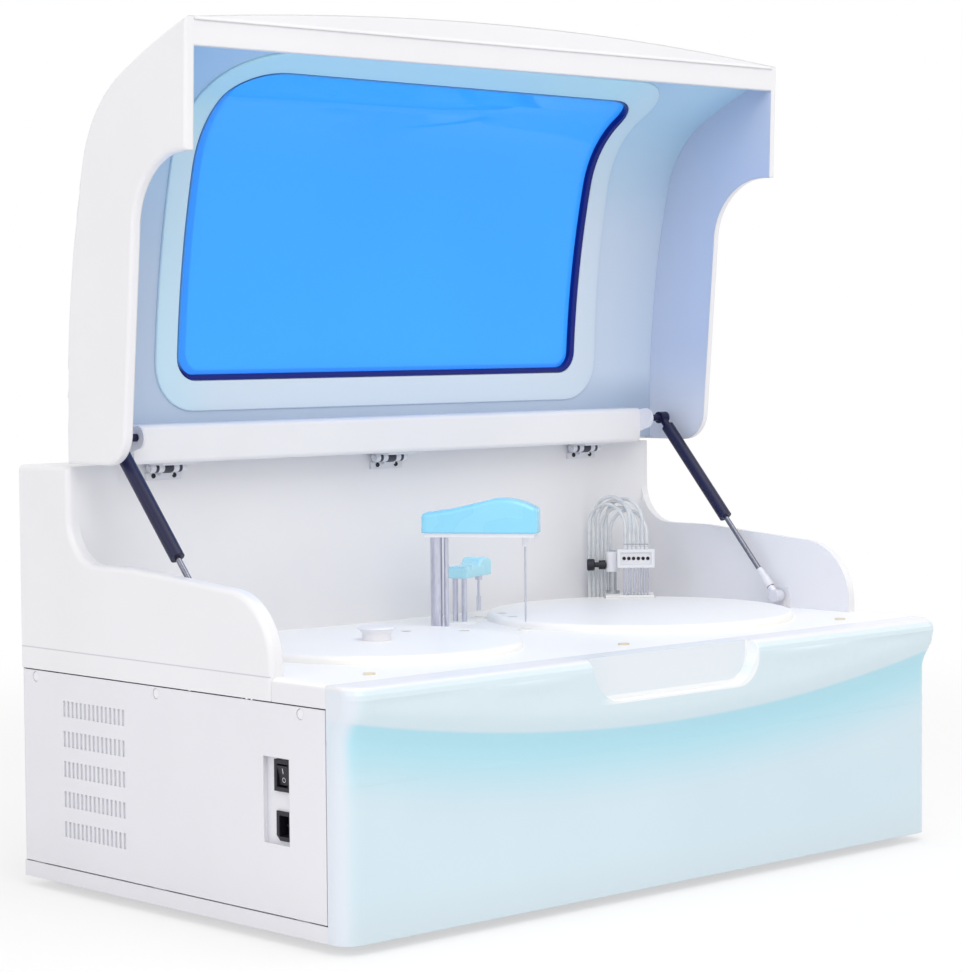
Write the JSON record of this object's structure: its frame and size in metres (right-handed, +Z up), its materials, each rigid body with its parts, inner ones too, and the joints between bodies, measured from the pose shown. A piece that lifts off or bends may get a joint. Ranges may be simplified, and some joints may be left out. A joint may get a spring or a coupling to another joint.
{
  "type": "benchtop chemistry analyzer",
  "caption": "Benchtop clinical chemistry analyzer with a raised windowed lid on gas struts, two covered discs, a sampling arm, a mixing arm and a cuvette wash station.",
  "frame": {"origin": "on the bench, under the middle of the instrument's outer box", "axes": "+X to the operator's right, +Y to the back, +Z up"},
  "size_m": [0.86, 0.5312, 0.8958],
  "materials": {
    "white_plastic": "satin moulded white",
    "white_metal": "fine textured white powder coat",
    "white_screws": "white painted domed heads",
    "black_rubber": "matte",
    "dark_rubber": "matte",
    "plain_steel": "brushed",
    "hinge_steel": "satin zinc",
    "bright_rod": "polished",
    "grey_paint": "smooth satin",
    "grey_plastic": "matte",
    "black_plastic": "fine grain",
    "cyan_plastic": "satin moulded pale cyan",
    "strut_black": "satin black",
    "blue_acrylic": "clear tinted sheet",
    "clear_hose": "clear soft tube",
    "tube_plastic": "clear hard plastic",
    "bath_aluminium": "satin machined",
    "board_green": "solder resist"
  },
  "bodies": {
    "base": {"base_tray": "white_metal", "feet": "black_rubber", "frame_posts": "plain_steel", "mounting_plate": "plain_steel", "left_side_panel": "white_metal", "right_side_panel": "white_metal", "rear_panel": "white_metal", "front_panel": "white_plastic", "upper_housing": "white_plastic", "panel_screws": "white_screws", "power_plate": "white_metal", "switch_frame": "black_plastic", "power_inlet": "black_plastic", "deck_plugs": "white_plastic", "hinge_fixed_leaves": "hinge_steel", "deck": "white_plastic", "strut_wall_studs": "hinge_steel", "wash_wells": "white_plastic", "wash_block": "white_plastic", "wash_post": "plain_steel", "disc_motors": "plain_steel", "warm_bath": "bath_aluminium", "photometer": "grey_paint", "syringe_pump": "grey_paint", "power_supply": "plain_steel", "control_board": "board_green", "fan_frame": "black_plastic"},
    "lid": {"lid_shell": "white_plastic", "lid_liner": "white_plastic", "lid_window": "blue_acrylic", "window_gasket": "dark_rubber", "lid_rear_bar": "white_plastic", "hinge_lid_leaves": "hinge_steel", "strut_lid_brackets": "white_metal"},
    "left_rod": {"left_strut_rod": "bright_rod"},
    "right_rod": {"right_strut_rod": "bright_rod"},
    "left_tube": {"left_strut_tube": "strut_black"},
    "right_tube": {"right_strut_tube": "strut_black"},
    "probe_turret_body": {"probe_turret": "white_plastic"},
    "probe_arm": {"probe_column": "bright_rod", "probe_arm_base": "plain_steel", "probe_arm_cover": "cyan_plastic", "probe_needle": "bright_rod"},
    "mixer_turret_body": {"mixer_turret": "white_plastic"},
    "mixer_arm": {"mixer_posts": "bright_rod", "mixer_arm_cover": "cyan_plastic"},
    "paddle": {"mixer_paddle": "bright_rod"},
    "wash_head": {"wash_manifold": "white_plastic", "wash_nozzles": "bright_rod", "wash_hoses": "clear_hose"},
    "thumb_screw": {"wash_thumb_screw": "black_plastic"},
    "sample_lid": {"sample_cover": "white_plastic", "sample_cover_knob": "black_plastic"},
    "sample_disc": {"sample_rotor": "grey_plastic", "sample_tubes": "tube_plastic"},
    "reaction_lid": {"reaction_cover": "white_plastic"},
    "reaction_disc": {"reaction_rotor": "grey_plastic", "cuvettes": "tube_plastic"},
    "rocker": {"power_rocker": "black_plastic"},
    "fan": {"fan_rotor": "black_plastic"}
  },
  "joints": [
    {"name": "lid_hinge", "type": "hinge", "parent": "base", "child": "lid", "pos_m": [0, 0.171, 0.434], "axis": [-1, 0, 0], "range_deg": [-87.5, 0]},
    {"name": "probe_swing", "type": "hinge", "parent": "base", "child": "probe_turret_body", "pos_m": [-0.026, 0.067, 0.25], "axis": [0, 0, 1], "range_deg": [-98.08, 42.23]},
    {"name": "probe_lift", "type": "slide", "parent": "probe_turret_body", "child": "probe_arm", "axis": [0, 0, 1], "range_m": [-0.025, 0.035]},
    {"name": "mixer_swing", "type": "hinge", "parent": "base", "child": "mixer_turret_body", "pos_m": [0.04, 0.101, 0.25], "axis": [0, 0, 1], "range_deg": [-40.46, 0]},
    {"name": "mixer_lift", "type": "slide", "parent": "mixer_turret_body", "child": "mixer_arm", "axis": [0, 0, 1], "range_m": [-0.02, 0.025]},
    {"name": "paddle_spin", "type": "hinge", "parent": "mixer_arm", "child": "paddle", "pos_m": [0.0879, 0.12123, 0.3], "axis": [0, 0, 1], "continuous": true},
    {"name": "wash_lift", "type": "slide", "parent": "base", "child": "wash_head", "axis": [0, 0, 1], "range_m": [-0.012, 0.012]},
    {"name": "thumb_screw_turn", "type": "hinge", "parent": "wash_head", "child": "thumb_screw", "pos_m": [0.32336, 0.13854, 0.295], "axis": [-0.7071, 0.7071, 0], "continuous": true},
    {"name": "sample_cover_lift", "type": "slide", "parent": "base", "child": "sample_lid", "axis": [0, 0, 1], "range_m": [0, 0.06]},
    {"name": "sample_disc_spin", "type": "hinge", "parent": "base", "child": "sample_disc", "pos_m": [-0.19, -0.021, 0.2], "axis": [0, 0, 1], "continuous": true},
    {"name": "reaction_cover_lift", "type": "slide", "parent": "base", "child": "reaction_lid", "axis": [0, 0, 1], "range_m": [0, 0.03]},
    {"name": "reaction_disc_spin", "type": "hinge", "parent": "base", "child": "reaction_disc", "pos_m": [0.218, -0.005, 0.2], "axis": [0, 0, 1], "continuous": true},
    {"name": "rocker_tilt", "type": "hinge", "parent": "base", "child": "rocker", "pos_m": [-0.42075, -0.156, 0.159], "axis": [0, 1, 0], "range_deg": [0, 14]},
    {"name": "fan_spin", "type": "hinge", "parent": "base", "child": "fan", "pos_m": [0.25, 0.25, 0.12], "axis": [0, 1, 0], "continuous": true},
    {"name": "left_strut_hinge", "type": "hinge", "parent": "base", "child": "left_rod", "pos_m": [-0.404, -0.047, 0.264], "axis": [-1, 0, 0], "range_deg": [-20, 20]},
    {"name": "left_strut_slide", "type": "slide", "parent": "left_rod", "child": "left_tube", "axis": [0, 0.6616, 0.7498], "range_m": [-0.048, 0.002]},
    {"name": "right_strut_hinge", "type": "hinge", "parent": "base", "child": "right_rod", "pos_m": [0.404, -0.047, 0.264], "axis": [-1, 0, 0], "range_deg": [-20, 20]},
    {"name": "right_strut_slide", "type": "slide", "parent": "right_rod", "child": "right_tube", "axis": [0, 0.6616, 0.7498], "range_m": [-0.048, 0.002]}
  ],
  "couplings": [
    {"joint": "left_strut_hinge", "follows": "lid_hinge", "ratio": -0.14135},
    {"joint": "left_strut_slide", "follows": "lid_hinge", "m_per_rad": 0.030142},
    {"joint": "right_strut_hinge", "follows": "lid_hinge", "ratio": -0.14135},
    {"joint": "right_strut_slide", "follows": "lid_hinge", "m_per_rad": 0.030142}
  ]
}
